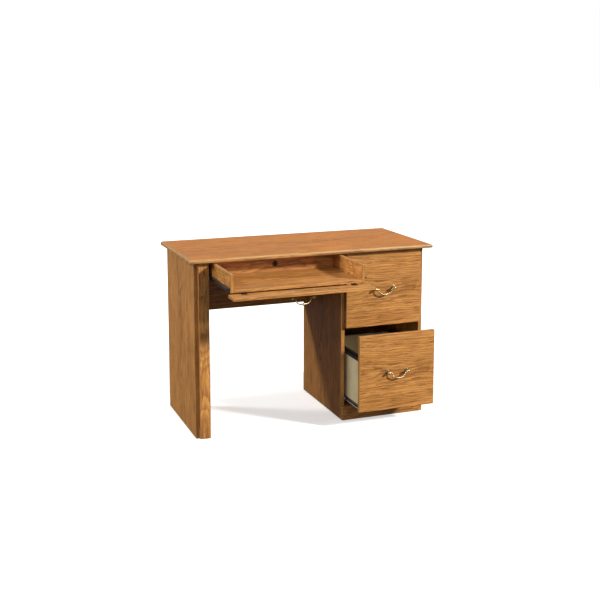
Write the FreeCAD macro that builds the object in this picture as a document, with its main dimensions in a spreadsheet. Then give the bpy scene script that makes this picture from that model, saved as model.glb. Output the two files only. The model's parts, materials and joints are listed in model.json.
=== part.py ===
import FreeCAD, Part
import math
import os
import re

# Computer desk with a pull-out keyboard tray, a drop-front flap and two file-size drawers.
# Every formula below is written from the left leg's outer face (x), the front plane of the
# drawer fronts when closed (y, growing to the back) and the floor (z). The finished pieces
# are moved so that the origin lies on the floor under the middle of the whole outline.

DIMENSIONS = (
    # alias, millimetres, what it is
    ("origin_x", 520, "left leg face to the part's own origin"),
    ("origin_y", 69.3, "front plane to the part's own origin"),
    ("desk_width", 1040, "across the outer faces of leg and pedestal"),
    ("desk_depth", 466, "front plane to the back edges of the upright panels"),
    ("desk_height", 762, "floor to the top's upper face"),
    ("board", 16, "thickness of the laminated boards"),
    ("thin_board", 12, "thickness of tray, flap and drawer box boards"),
    ("hardboard", 3, "thickness of hardboard back and drawer bottoms"),
    ("ease", 0.8, "eased edge on every board"),
    ("glide", 2, "height of the nail-on glides"),
    ("glide_radius", 7, "radius of the glides"),
    ("glide_inset", 44, "glide centre to the ends of a panel"),
    ("side_overhang", 27.5, "top's edge beyond the leg and pedestal"),
    ("front_overhang", 26, "top's edge in front of the front plane"),
    ("back_reach", 4, "top's edge behind the upright panels"),
    ("nose_width", 12.5, "width of the edge moulding"),
    ("nose_radius", 9, "round of the moulding's upper edge"),
    ("nose_under", 2.5, "bevel of the moulding's lower edge"),
    ("leg_width", 60, "width of the boxed left leg"),
    ("pedestal_x", 652, "left leg face to the pedestal's left face"),
    ("plinth_height", 62, "floor to the top of the pedestal's bottom panel"),
    ("modesty_bottom", 436, "floor to the modesty panel's lower edge"),
    ("stretcher_depth", 70, "depth of the stretchers under the top"),
    ("stretcher_inset", 4, "stretcher to the ends of the side panels"),
    ("front_gap", 1.5, "drawer front to the side panels"),
    ("front_bottom", 80, "floor to the lower drawer front"),
    ("front_height", 330, "height of each drawer front"),
    ("front_step", 333, "lower front's bottom to upper front's bottom"),
    ("box_lift", 6, "drawer front's bottom to the drawer sides' bottom"),
    ("box_height", 218, "height of the drawer sides"),
    ("box_length", 400, "length of the drawer sides"),
    ("groove_lift", 6, "drawer side's bottom to the groove"),
    ("groove_depth", 5, "depth of the groove"),
    ("groove_play", 0.1, "play around the drawer bottom in its groove"),
    ("tongue_depth", 4.6, "drawer bottom's reach into its groove"),
    ("lower_pull", 140.6, "how far the lower drawer stands open"),
    ("slide_gap", 12.5, "pedestal panel to drawer side"),
    ("tray_gap", 14, "leg or pedestal panel to tray side"),
    ("tray_bottom", 668, "floor to the tray's underside"),
    ("tray_height", 74, "height of the tray's sides"),
    ("tray_depth", 316, "length of the tray's sides"),
    ("tray_closed", 13.7, "front plane to the pushed-in tray's front edges"),
    ("tray_pull", 266, "how far the tray stands pulled out"),
    ("cable_hole_x", 363, "left leg face to the cable hole"),
    ("cable_hole_z", 710, "floor to the cable hole"),
    ("cable_hole_radius", 12, "radius of the cable hole"),
    ("flap_gap", 2.5, "flap to leg and pedestal"),
    ("flap_height", 72.4, "height of the flap when it is shut"),
    ("hinge_ahead", 2.7, "tray's front edge to the flap hinge's axis"),
    ("hinge_drop", 4, "tray's underside down to the flap hinge's axis"),
    ("hinge_offset", 1, "hinge axis to the flap's inner face"),
    ("hinge_inset", 50, "tray side's face to the middle of a hinge"),
    ("hinge_width", 22, "length of a hinge"),
    ("leaf", 1.4, "thickness of a hinge leaf"),
    ("leaf_reach", 22, "hinge axis to the far edge of a leaf"),
    ("knuckle_radius", 3.5, "outside radius of a hinge knuckle"),
    ("knuckle_length", 5.4, "length of each outer knuckle"),
    ("hinge_pin_radius", 1.5, "radius of the hinge pins"),
    ("running_play", 0.07, "radial play of a turning fit"),
    ("knuckle_play", 0.21, "end play between two knuckles of a hinge"),
    ("steel", 1.2, "thickness of the slide rails' sheet steel"),
    ("rail_height", 21.4, "height of a fixed rail"),
    ("rail_flange", 9.5, "panel face to the edge of a fixed rail's flanges"),
    ("tray_rail_length", 310, "length of the tray's rails"),
    ("tray_rail_setback", 4, "tray's front edge to its rails"),
    ("drawer_rail_length", 396, "length of the drawers' rails"),
    ("drawer_rail_setback", 18, "front plane to the drawers' rails"),
    ("roller_radius", 9, "radius of a nylon roller"),
    ("roller_width", 6, "width of a nylon roller"),
    ("roller_inset", 11, "roller's axle to the end of its rail"),
    ("roller_room", 22, "length of rail left clear for a roller"),
    ("front_roller_u", 2.4, "panel face to the near side of a front roller"),
    ("front_roller_z", 8.7, "rail datum up to a front roller's axle"),
    ("rear_roller_u", 3, "panel face to the near side of a rear roller"),
    ("rear_roller_z", 10.4, "rail datum up to a rear roller's axle"),
    ("runner_z", 17.9, "rail datum up to the underside of the runner flange"),
    ("axle_radius", 2.4, "radius of a roller's axle"),
    ("axle_head", 3.6, "radius of a roller axle's riveted head"),
    ("axle_head_length", 0.8, "thickness of that head"),
    ("axle_clearance", 0.4, "roller's face to the axle's head"),
    ("post_spacing", 89, "between the posts of a bail pull"),
    ("post_standoff", 17, "drawer face to the bail's pivot"),
    ("rosette_radius", 10.5, "radius of a post's rosette"),
    ("rosette_height", 3, "thickness of a post's rosette"),
    ("collar_radius", 7, "radius of the step on a rosette"),
    ("collar_height", 2, "height of that step"),
    ("stem_radius", 4, "radius of a post's stem"),
    ("ball_radius", 6.5, "radius of a post's ball"),
    ("bail_radius", 2.2, "radius of the bail's wire"),
    ("bail_drop", 25, "pivot to the bail's lowest point"),
    ("bail_shoulder", 8.5, "post's middle to the start of the bail's bend"),
    ("bail_bend", 5, "radius of the bail's bends beside the posts"),
    ("bead_radius", 4, "radius of the bead in the bail's middle"),
    ("pull_screw_radius", 2, "radius of a pull's screw"),
    ("pull_screw_head", 4, "radius of that screw's head"),
    ("pull_screw_head_height", 2.4, "height of that head"),
    ("cap_wall", 1.5, "wall of a file rail"),
    ("cap_grip", 10, "how far a file rail grips down the drawer side"),
    ("cap_height", 3, "thickness of a file rail's crown"),
    ("fin_width", 2.5, "thickness of the fin that folders hang on"),
    ("fin_height", 9, "height of that fin"),
    ("bracket", 22, "leg length of a steel angle bracket"),
    ("bracket_width", 20, "width of an angle bracket"),
    ("bracket_steel", 1.6, "thickness of an angle bracket"),
    ("screw_radius", 1.7, "radius of a bracket screw's shank"),
    ("screw_head", 3.6, "radius of its pan head"),
    ("screw_head_height", 2, "height of its pan head"),
    ("screw_length", 13, "length of its shank"),
    ("bracket_front", 150, "front plane to the pedestal's front brackets"),
    ("bracket_middle", 330, "front plane to the pedestal's rear brackets"),
    ("bracket_back", 400, "front plane to the brackets behind the tray"),
    ("bracket_left", 200, "left leg face to the modesty panel's left bracket"),
    ("bracket_right", 510, "left leg face to the modesty panel's right bracket"),
    ("screw_place", 13, "bracket's corner to its screws"),
    ("nail_radius", 0.8, "radius of a back-panel nail"),
    ("nail_head", 3.2, "radius of its head"),
    ("nail_head_height", 0.6, "thickness of its head"),
    ("nail_length", 16, "length of a back-panel nail"),
)

doc = FreeCAD.newDocument("computer_desk")
sheet = doc.addObject("Spreadsheet::Sheet", "Dims")
for row, (alias, value, meaning) in enumerate(DIMENSIONS, start=1):
    sheet.set(f"A{row}", alias)
    sheet.set(f"B{row}", str(value))
    sheet.setAlias(f"B{row}", alias)
    sheet.set(f"C{row}", meaning)
doc.recompute()

SIZE = {alias: float(value) for alias, value, meaning in DIMENSIONS}
SHIFT = ("- origin_x", "- origin_y", "")
DIRECTIONS = {
    "+x": FreeCAD.Vector(1, 0, 0),
    "-x": FreeCAD.Vector(-1, 0, 0),
    "+y": FreeCAD.Vector(0, 1, 0),
    "-y": FreeCAD.Vector(0, -1, 0),
    "+z": FreeCAD.Vector(0, 0, 1),
    "-z": FreeCAD.Vector(0, 0, -1),
}
pieces = []


# ---------------------------------------------------------------- building blocks


def bind(item, field, formula):
    """Ties a field to a formula written in the sheet's aliases."""
    item.setExpression(field, re.sub(r"[a-z]\w+", lambda word: "Dims." + word.group(), formula))


def place(item, point, rotation=None):
    """Puts an item at a point given by three formulas."""
    if rotation:
        item.Placement = FreeCAD.Placement(FreeCAD.Vector(), rotation)
    for axis, formula, shift in zip("xyz", point, SHIFT):
        bind(item, f"Placement.Base.{axis}", f"{formula} {shift}")


def piece(item, label):
    """Names a finished piece and keeps it for the export."""
    item.Label = label
    pieces.append(item)
    return item


def box(corner, size):
    item = doc.addObject("Part::Box", "block")
    for field, formula in zip(("Length", "Width", "Height"), size):
        bind(item, field, formula)
    place(item, corner)
    return item


def rod(start, direction, radius, length):
    item = doc.addObject("Part::Cylinder", "rod")
    bind(item, "Radius", radius)
    bind(item, "Height", length)
    turn = FreeCAD.Rotation(DIRECTIONS["+z"], DIRECTIONS[direction])
    place(item, start, turn)
    return item


def ball(centre, radius):
    item = doc.addObject("Part::Sphere", "ball")
    bind(item, "Radius", radius)
    place(item, centre)
    return item


def fuse(items):
    item = doc.addObject("Part::MultiFuse", "fusion")
    item.Shapes = items
    item.Refine = True
    return item


def cut(base, tools):
    item = doc.addObject("Part::Cut", "cut")
    item.Base = base
    item.Tool = tools[0] if len(tools) == 1 else fuse(tools)
    return item


def group(items):
    item = doc.addObject("Part::Compound", "group")
    item.Links = items
    return item


BOX_EDGES = 12


def board(corner, size):
    """A board with all its edges eased."""
    blank = box(corner, size)
    item = doc.addObject("Part::Chamfer", "eased")
    item.Base = blank
    item.Edges = [(number, SIZE["ease"], SIZE["ease"]) for number in range(1, BOX_EDGES + 1)]
    return item


# ---------------------------------------------------------------- top and its mouldings

MOULDING_TOP_EDGE = 10


def edge_moulding(label, length, start, degrees, mitred_start, mitred_end):
    """A round-nosed strip along its own x, its nose at y = 0, mitred where two meet."""
    blank = doc.addObject("Part::Box", "strip")
    bind(blank, "Length", length)
    bind(blank, "Width", "nose_width")
    bind(blank, "Height", "board")
    nose = doc.addObject("Part::Fillet", "nose")
    nose.Base = blank
    nose.Edges = [(MOULDING_TOP_EDGE, SIZE["nose_radius"], SIZE["nose_radius"])]
    under = doc.addObject("Part::Chamfer", "under")
    under.Base = nose
    doc.recompute()
    lowest = [
        number
        for number, edge in enumerate(nose.Shape.Edges, start=1)
        if edge.BoundBox.ZMax < SIZE["ease"] and edge.BoundBox.YMax < SIZE["ease"]
    ]
    under.Edges = [(number, SIZE["nose_under"], SIZE["nose_under"]) for number in lowest]
    mitre = doc.addObject("Part::Wedge", "mitre")
    for field in ("Xmin", "Ymin", "Zmin", "Z2min"):
        setattr(mitre, field, 0)
    bind(mitre, "Xmax", length)
    bind(mitre, "Ymax", "nose_width")
    bind(mitre, "Zmax", "board")
    bind(mitre, "Z2max", "board")
    bind(mitre, "X2min", "nose_width" if mitred_start else "0")
    bind(mitre, "X2max", f"{length} - nose_width" if mitred_end else length)
    strip = doc.addObject("Part::Common", "moulding")
    strip.Base = under
    strip.Tool = mitre
    place(strip, start, FreeCAD.Rotation(DIRECTIONS["+z"], degrees))
    return piece(strip, label)


TOP_LENGTH = "desk_width + 2 * side_overhang"
TOP_DEPTH = "desk_depth + back_reach + front_overhang"
UNDER_TOP = "desk_height - board"

piece(
    box(
        ("nose_width - side_overhang", "nose_width - front_overhang", UNDER_TOP),
        (f"{TOP_LENGTH} - 2 * nose_width", f"{TOP_DEPTH} - nose_width", "board"),
    ),
    "top_panel",
)
FRONT_LEFT = ("-side_overhang", "-front_overhang", UNDER_TOP)
edge_moulding("front_edge_moulding", TOP_LENGTH, FRONT_LEFT, 0, True, True)
BACK_LEFT = ("-side_overhang", "desk_depth + back_reach", UNDER_TOP)
FRONT_RIGHT = ("desk_width + side_overhang", "-front_overhang", UNDER_TOP)
edge_moulding("left_edge_moulding", TOP_DEPTH, BACK_LEFT, -90, False, True)
edge_moulding("right_edge_moulding", TOP_DEPTH, FRONT_RIGHT, 90, True, False)

# ---------------------------------------------------------------- leg, pedestal, back

UPRIGHT_HEIGHT = "desk_height - board - glide"
UPRIGHT = ("board", "desk_depth - board", UPRIGHT_HEIGHT)
PANEL_FACES = ("0", "leg_width - board", "pedestal_x", "desk_width - board")
PEDESTAL_INSIDE = "pedestal_x + board"
PEDESTAL_ROOM = "desk_width - pedestal_x - 2 * board"
BACK_BOARD_Y = "desk_depth - board"

upright_names = ("left_end_panel", "leg_inner_panel", "pedestal_left_panel", "pedestal_right_panel")
for label, face in zip(upright_names, PANEL_FACES):
    piece(board((face, "board", "glide"), UPRIGHT), label)

boards = {
    "leg_front_fascia": (("board", "0", "glide"), ("leg_width - board", "board", UPRIGHT_HEIGHT)),
    "leg_back_strip": (("board", BACK_BOARD_Y, "glide"), ("leg_width - 2 * board", "board", UPRIGHT_HEIGHT)),
    "modesty_panel": (
        ("leg_width", BACK_BOARD_Y, "modesty_bottom"),
        ("pedestal_x - leg_width", "board", f"{UNDER_TOP} - modesty_bottom"),
    ),
    "pedestal_bottom_panel": (
        (PEDESTAL_INSIDE, "board", "plinth_height - board"),
        (PEDESTAL_ROOM, "desk_depth - board", "board"),
    ),
    "plinth_front": (
        ("pedestal_x", "0", "glide"),
        ("desk_width - pedestal_x", "board", "plinth_height - glide"),
    ),
    "plinth_back": (
        (PEDESTAL_INSIDE, BACK_BOARD_Y, "glide"),
        (PEDESTAL_ROOM, "board", "plinth_height - board - glide"),
    ),
}
for label, (corner, size) in boards.items():
    piece(board(corner, size), label)

piece(
    box(
        ("pedestal_x + front_gap", "desk_depth", "plinth_height - board"),
        ("desk_width - pedestal_x - 2 * front_gap", "hardboard", f"{UNDER_TOP} - plinth_height + board"),
    ),
    "pedestal_back_panel",
)

stretcher_rows = ("board + stretcher_inset", "desk_depth - stretcher_inset - stretcher_depth")
stretchers = [
    board((PEDESTAL_INSIDE, row, "desk_height - 2 * board"), (PEDESTAL_ROOM, "stretcher_depth", "board"))
    for row in stretcher_rows
]
piece(group(stretchers), "pedestal_stretchers")

glide_rows = ("board + glide_inset", "desk_depth - glide_inset")
glides = [
    rod((f"{face} + board / 2", row, "0"), "+z", "glide_radius", "glide")
    for face in PANEL_FACES
    for row in glide_rows
]
piece(group(glides), "floor_glides")

# ---------------------------------------------------------------- brackets, screws, nails


def pan_screw(start, direction):
    """A pan-head screw whose head sits on start and whose shank runs along direction."""
    axis = "xyz".index(direction[1])
    sign = "-" if direction[0] == "+" else "+"
    head_start = list(start)
    head_start[axis] = f"{start[axis]} {sign} screw_head_height"
    head = rod(head_start, direction, "screw_head", "screw_head_height")
    shank = rod(start, direction, "screw_radius", "screw_length")
    return fuse([head, shank])


def angle_bracket(wall, along, side):
    """A steel angle under the top, against an upright panel's face.

    wall is the face's place on its own axis, along the bracket's middle on the other axis,
    and side says which way the bracket stands off the face.
    """
    outward = "+" if side[0] == "+" else "-"
    wall_axis = side[1]
    thickness = {"+": wall, "-": f"{wall} - bracket_steel"}[outward]
    reach = {"+": wall, "-": f"{wall} - bracket"}[outward]
    upright = {
        "x": ((thickness, f"{along} - bracket_width / 2"), ("bracket_steel", "bracket_width")),
        "y": ((f"{along} - bracket_width / 2", thickness), ("bracket_width", "bracket_steel")),
    }[wall_axis]
    flat = {
        "x": ((reach, f"{along} - bracket_width / 2"), ("bracket", "bracket_width")),
        "y": ((f"{along} - bracket_width / 2", reach), ("bracket_width", "bracket")),
    }[wall_axis]
    wall_plate = box((*upright[0], f"{UNDER_TOP} - bracket"), (*upright[1], "bracket"))
    top_plate = box((*flat[0], f"{UNDER_TOP} - bracket_steel"), (*flat[1], "bracket_steel"))
    middle = f"{wall} {outward} screw_place"
    onto_top = {"x": (middle, along), "y": (along, middle)}[wall_axis]
    seat = f"{wall} {outward} bracket_steel"
    onto_wall = {"x": (seat, along), "y": (along, seat)}[wall_axis]
    into_wall = {"+": "-", "-": "+"}[outward] + wall_axis
    top_seat = (*onto_top, f"{UNDER_TOP} - bracket_steel")
    wall_seat = (*onto_wall, f"{UNDER_TOP} - screw_place")
    holes = [
        rod(top_seat, "+z", "screw_radius", "bracket_steel"),
        rod(wall_seat, into_wall, "screw_radius", "bracket_steel"),
    ]
    screws = [pan_screw(top_seat, "+z"), pan_screw(wall_seat, into_wall)]
    return cut(fuse([wall_plate, top_plate]), holes), screws


bracket_places = (
    ("leg_width", "bracket_back", "+x"),
    ("pedestal_x", "bracket_back", "-x"),
    (PEDESTAL_INSIDE, "bracket_front", "+x"),
    (PEDESTAL_INSIDE, "bracket_middle", "+x"),
    ("desk_width - board", "bracket_front", "-x"),
    ("desk_width - board", "bracket_middle", "-x"),
    (BACK_BOARD_Y, "bracket_left", "-y"),
    (BACK_BOARD_Y, "bracket_right", "-y"),
)
brackets, bracket_screws = [], []
for wall, along, side in bracket_places:
    bracket, screws = angle_bracket(wall, along, side)
    brackets.append(bracket)
    bracket_screws += screws
piece(group(brackets), "top_angle_brackets")
piece(group(bracket_screws), "bracket_screws")

NAIL_ROWS = 5
nailed_height = f"({UNDER_TOP} - plinth_height - 2 * board)"
nails = []
for edge in ("pedestal_x + board / 2", "desk_width - board / 2"):
    for row in range(NAIL_ROWS):
        height = f"plinth_height + board + {nailed_height} * {row} / {NAIL_ROWS - 1}"
        head = rod((edge, "desk_depth + hardboard", height), "+y", "nail_head", "nail_head_height")
        shank = rod((edge, "desk_depth + hardboard", height), "-y", "nail_radius", "nail_length")
        nails.append(fuse([head, shank]))
piece(group(nails), "back_panel_nails")

# ---------------------------------------------------------------- roller slides
# A rail's own measure u runs from the cabinet's face towards the drawer; its datum is the
# underside of the drawer or tray side that it carries.


def across(face, side, near, far):
    """The x corner and width of a strip from u = near to u = far off a cabinet face."""
    corner = f"{face} + {near}" if side == "+x" else f"{face} - ({far})"
    return corner, f"{far} - ({near})"


def at_u(face, side, reach):
    return f"{face} + {reach}" if side == "+x" else f"{face} - ({reach})"


def fixed_rail(face, side, datum, front, length):
    """A C-shaped rail screwed to the cabinet, with the front roller's axle at its front."""
    web_x, web_w = across(face, side, "0", "steel")
    lip_x, lip_w = across(face, side, "0", "rail_flange")
    clear = f"{front} + roller_room"
    strips = [
        box((web_x, front, datum), (web_w, length, "rail_height")),
        box((lip_x, front, f"{datum} + rail_height - steel"), (lip_w, length, "steel")),
        box((lip_x, clear, datum), (lip_w, f"{length} - roller_room", "steel")),
    ]
    axle_y = f"{front} + roller_inset"
    axle_z = f"{datum} + front_roller_z"
    end = "front_roller_u + roller_width + axle_clearance"
    axle = rod((face, axle_y, axle_z), side, "axle_radius", f"{end} + axle_head_length")
    head = rod((at_u(face, side, end), axle_y, axle_z), side, "axle_head", "axle_head_length")
    return fuse([*strips, axle, head])


def moving_rail(face, side, datum, front, length, gap):
    """The rail under a drawer side: a runner flange above the rollers, a shelf below."""
    web_x, web_w = across(face, side, f"{gap} - steel", gap)
    runner_x, runner_w = across(face, side, "front_roller_u", gap)
    shelf_x, shelf_w = across(face, side, f"{gap} - steel", f"{gap} + thin_board")
    strips = [
        box((web_x, front, f"{datum} - steel"), (web_w, length, "runner_z + 2 * steel")),
        box((runner_x, front, f"{datum} + runner_z"), (runner_w, f"{length} - roller_room", "steel")),
        box((shelf_x, front, f"{datum} - steel"), (shelf_w, length, "steel")),
    ]
    axle_y = f"{front} + {length} - roller_inset"
    axle_z = f"{datum} + rear_roller_z"
    back_way = {"+x": "-x", "-x": "+x"}[side]
    end = "rear_roller_u - axle_clearance - axle_head_length"
    axle_start = at_u(face, side, gap)
    axle = rod((axle_start, axle_y, axle_z), back_way, "axle_radius", f"{gap} - ({end})")
    head = rod((at_u(face, side, end), axle_y, axle_z), side, "axle_head", "axle_head_length")
    return fuse([*strips, axle, head])


def roller(face, side, near, axle_y, axle_z):
    start = at_u(face, side, near)
    tyre = rod((start, axle_y, axle_z), side, "roller_radius", "roller_width")
    bore = rod((start, axle_y, axle_z), side, "axle_radius + running_play", "roller_width")
    return cut(tyre, [bore])


def slide(name, faces, datum, gap, fixed_front, moving_front, length):
    """One pair of roller slides: fixed rails, moving rails and their rollers."""
    sides = list(zip(faces, ("+x", "-x")))
    front_axle = (f"{fixed_front} + roller_inset", f"{datum} + front_roller_z")
    rear_axle = (f"{moving_front} + {length} - roller_inset", f"{datum} + rear_roller_z")
    piece(group([fixed_rail(*at, datum, fixed_front, length) for at in sides]), f"{name}_fixed_rails")
    moving = [moving_rail(*at, datum, moving_front, length, gap) for at in sides]
    piece(group(moving), f"{name}_moving_rails")
    piece(group([roller(*at, "front_roller_u", *front_axle) for at in sides]), f"{name}_front_rollers")
    piece(group([roller(*at, "rear_roller_u", *rear_axle) for at in sides]), f"{name}_rear_rollers")


# ---------------------------------------------------------------- bail pulls


def pull_post(x, y, z, direction):
    """A rosette, a step, a stem and a ball bored across for the bail; it stands off a face."""
    axis = "xyz".index(direction[1])
    far_end = [x, y, z]
    far_end[axis] = f"{far_end[axis]} {direction[0]} post_standoff"
    parts = [
        rod((x, y, z), direction, "rosette_radius", "rosette_height"),
        rod((x, y, z), direction, "collar_radius", "rosette_height + collar_height"),
        rod((x, y, z), direction, "stem_radius", "post_standoff"),
        ball(far_end, "ball_radius"),
    ]
    bore_start = (f"{x} - ball_radius", far_end[1], far_end[2])
    bore = rod(bore_start, "+x", "bail_radius + running_play", "2 * ball_radius")
    return cut(fuse(parts), [bore])


def pull_screw(x, y, z, direction, thickness):
    """A machine screw through a front of the given thickness, its head on the inside."""
    axis = "xyz".index(direction[1])
    back = "-" if direction[0] == "+" else "+"
    inside = [x, y, z]
    inside[axis] = f"{inside[axis]} {back} {thickness}"
    head_start = list(inside)
    head_start[axis] = f"{inside[axis]} {back} pull_screw_head_height"
    head = rod(head_start, direction, "pull_screw_head", "pull_screw_head_height")
    shank = rod(inside, direction, "pull_screw_radius", thickness)
    return fuse([head, shank])


def bail_shape():
    """The swinging bail, hanging from pivots on the x axis, its middle at the origin."""
    half = SIZE["post_spacing"] / 2
    start = half - SIZE["bail_shoulder"]
    drop = SIZE["bail_drop"]
    bend = SIZE["bail_bend"]
    turn = 2 * math.atan(drop / start)
    sweep = start / math.sin(turn) - bend
    across_x = DIRECTIONS["+x"]
    across_y = DIRECTIONS["+y"]

    def section(centre, heading):
        return Part.Face(Part.Wire(Part.makeCircle(SIZE["bail_radius"], centre, heading)))

    tip = FreeCAD.Vector(-half, 0, 0)
    shoulder = FreeCAD.Vector(-start, 0, 0)
    bend_centre = FreeCAD.Vector(-start, 0, -bend)
    bend_end = FreeCAD.Vector(bend * math.sin(turn) - start, 0, bend * (math.cos(turn) - 1))
    heading = FreeCAD.Vector(math.cos(turn), 0, -math.sin(turn))
    sweep_centre = FreeCAD.Vector(0, 0, sweep - drop)
    degrees = math.degrees(turn)
    pin = section(tip, across_x).extrude(shoulder - tip)
    corner = section(shoulder, across_x).revolve(bend_centre, across_y, degrees)
    bow = section(bend_end, heading).revolve(sweep_centre, across_y, -2 * degrees)
    mirrored = [half_side.mirror(FreeCAD.Vector(), across_x) for half_side in (pin, corner)]
    bead = Part.makeSphere(SIZE["bead_radius"], FreeCAD.Vector(0, 0, -drop), across_x)
    return pin.multiFuse([corner, bow, *mirrored, bead]).removeSplitter().Solids[0]


def pull(name, x, y, z, direction, thickness):
    """A bail pull on a face that looks along direction, its bail hanging straight down."""
    axis = "xyz".index(direction[1])
    middles = (f"{x} - post_spacing / 2", f"{x} + post_spacing / 2")
    piece(group([pull_post(middle, y, z, direction) for middle in middles]), f"{name}_pull_posts")
    screws = [pull_screw(middle, y, z, direction, thickness) for middle in middles]
    piece(group(screws), f"{name}_pull_screws")
    bail = doc.addObject("Part::Feature", "bail")
    bail.Shape = bail_shape()
    pivot = [x, y, z]
    pivot[axis] = f"{pivot[axis]} {direction[0]} post_standoff"
    place(bail, pivot)
    piece(bail, f"{name}_pull_bail")


# ---------------------------------------------------------------- drawers

DRAWER_FACES = (PEDESTAL_INSIDE, "desk_width - board")
DRAWER_LEFT = f"{PEDESTAL_INSIDE} + slide_gap"
DRAWER_RIGHT = "desk_width - board - slide_gap - thin_board"


def drawer(name, bottom, pulled):
    """A drawer box behind an overlay front, standing open by the given amount."""
    side_z = f"{bottom} + box_lift"
    side_y = f"board - {pulled}"
    groove_z = f"{side_z} + groove_lift"
    groove_height = "hardboard + 2 * groove_play"
    piece(
        board(
            (f"{PEDESTAL_INSIDE} + front_gap", f"-{pulled}", bottom),
            (f"{PEDESTAL_ROOM} - 2 * front_gap", "board", "front_height"),
        ),
        f"{name}_front",
    )
    grooves = {"left": f"{DRAWER_LEFT} + thin_board - groove_depth", "right": DRAWER_RIGHT}
    for hand, corner_x in (("left", DRAWER_LEFT), ("right", DRAWER_RIGHT)):
        side = board((corner_x, side_y, side_z), ("thin_board", "box_length", "box_height"))
        groove = box((grooves[hand], side_y, groove_z), ("groove_depth", "box_length", groove_height))
        piece(cut(side, [groove]), f"{name}_{hand}_side")
    inside = f"{DRAWER_LEFT} + thin_board"
    room = f"{PEDESTAL_ROOM} - 2 * slide_gap - 2 * thin_board"
    above_groove = f"{groove_z} + {groove_height}"
    piece(
        board(
            (inside, f"{side_y} + box_length - thin_board", above_groove),
            (room, "thin_board", f"box_height - groove_lift - ({groove_height})"),
        ),
        f"{name}_back",
    )
    piece(
        box(
            (f"{inside} - tongue_depth", side_y, f"{groove_z} + groove_play"),
            (f"{room} + 2 * tongue_depth", "box_length", "hardboard"),
        ),
        f"{name}_bottom",
    )
    rail_front = f"drawer_rail_setback - {pulled}"
    slide(name, DRAWER_FACES, side_z, "slide_gap", "drawer_rail_setback", rail_front, "drawer_rail_length")
    middle = "(pedestal_x + desk_width) / 2"
    pull(name, middle, f"-{pulled}", f"{bottom} + front_height / 2", "-y", "board")


drawer("upper_drawer", "front_bottom + front_step", "0")
drawer("lower_drawer", "front_bottom", "lower_pull")

file_rails = []
for corner_x, fin_x in (
    (DRAWER_LEFT, f"{DRAWER_LEFT} + thin_board + cap_wall - fin_width"),
    (DRAWER_RIGHT, f"{DRAWER_RIGHT} - cap_wall"),
):
    rail_y = "board - lower_pull"
    side_top = "front_bottom + box_lift + box_height"
    lip = ("cap_wall", "box_length - thin_board", "cap_grip + cap_height")
    crown = (f"{corner_x} - cap_wall", rail_y, side_top)
    file_rails.append(
        fuse(
            [
                box(crown, ("thin_board + 2 * cap_wall", "box_length - thin_board", "cap_height")),
                box((f"{corner_x} - cap_wall", rail_y, f"{side_top} - cap_grip"), lip),
                box((f"{corner_x} + thin_board", rail_y, f"{side_top} - cap_grip"), lip),
                box((fin_x, rail_y, side_top), ("fin_width", lip[1], "cap_height + fin_height")),
            ]
        )
    )
piece(group(file_rails), "lower_drawer_file_rails")

# ---------------------------------------------------------------- keyboard tray and flap

TRAY_FRONT = "(tray_closed - tray_pull)"
TRAY_LEFT = "leg_width + tray_gap"
TRAY_RIGHT = "pedestal_x - tray_gap - thin_board"
TRAY_INSIDE = "pedestal_x - leg_width - 2 * tray_gap - 2 * thin_board"
side_size = ("thin_board", "tray_depth", "tray_height")
piece(board((TRAY_LEFT, TRAY_FRONT, "tray_bottom"), side_size), "tray_left_side")
piece(board((TRAY_RIGHT, TRAY_FRONT, "tray_bottom"), side_size), "tray_right_side")
tray_corner = (f"{TRAY_LEFT} + thin_board", TRAY_FRONT, "tray_bottom")
tray_size = (TRAY_INSIDE, "tray_depth - thin_board", "thin_board")
piece(board(tray_corner, tray_size), "tray_bottom_panel")
rail_y = f"{TRAY_FRONT} + tray_depth - thin_board"
rail_corner = (f"{TRAY_LEFT} + thin_board", rail_y, "tray_bottom")
back_rail = board(rail_corner, (TRAY_INSIDE, "thin_board", "tray_height"))
cable_hole = rod(("cable_hole_x", rail_y, "cable_hole_z"), "+y", "cable_hole_radius", "thin_board")
piece(cut(back_rail, [cable_hole]), "tray_back_rail")
slide(
    "tray",
    ("leg_width", "pedestal_x"),
    "tray_bottom",
    "tray_gap",
    "tray_closed + tray_rail_setback",
    f"{TRAY_FRONT} + tray_rail_setback",
    "tray_rail_length",
)

HINGE_Y = f"{TRAY_FRONT} - hinge_ahead"
HINGE_Z = "tray_bottom - hinge_drop"
FLAP_INNER_FACE = f"{HINGE_Z} + hinge_offset"
LEAF_GAP = "hinge_drop"

piece(
    board(
        ("leg_width + flap_gap", f"{HINGE_Y} - {LEAF_GAP} - flap_height", f"{FLAP_INNER_FACE} - thin_board"),
        ("pedestal_x - leg_width - 2 * flap_gap", "flap_height", "thin_board"),
    ),
    "flap_panel",
)


def knuckle(start_x, length, bore):
    sleeve = rod((start_x, HINGE_Y, HINGE_Z), "+x", "knuckle_radius", length)
    return sleeve, rod((start_x, HINGE_Y, HINGE_Z), "+x", bore, length)


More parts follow.
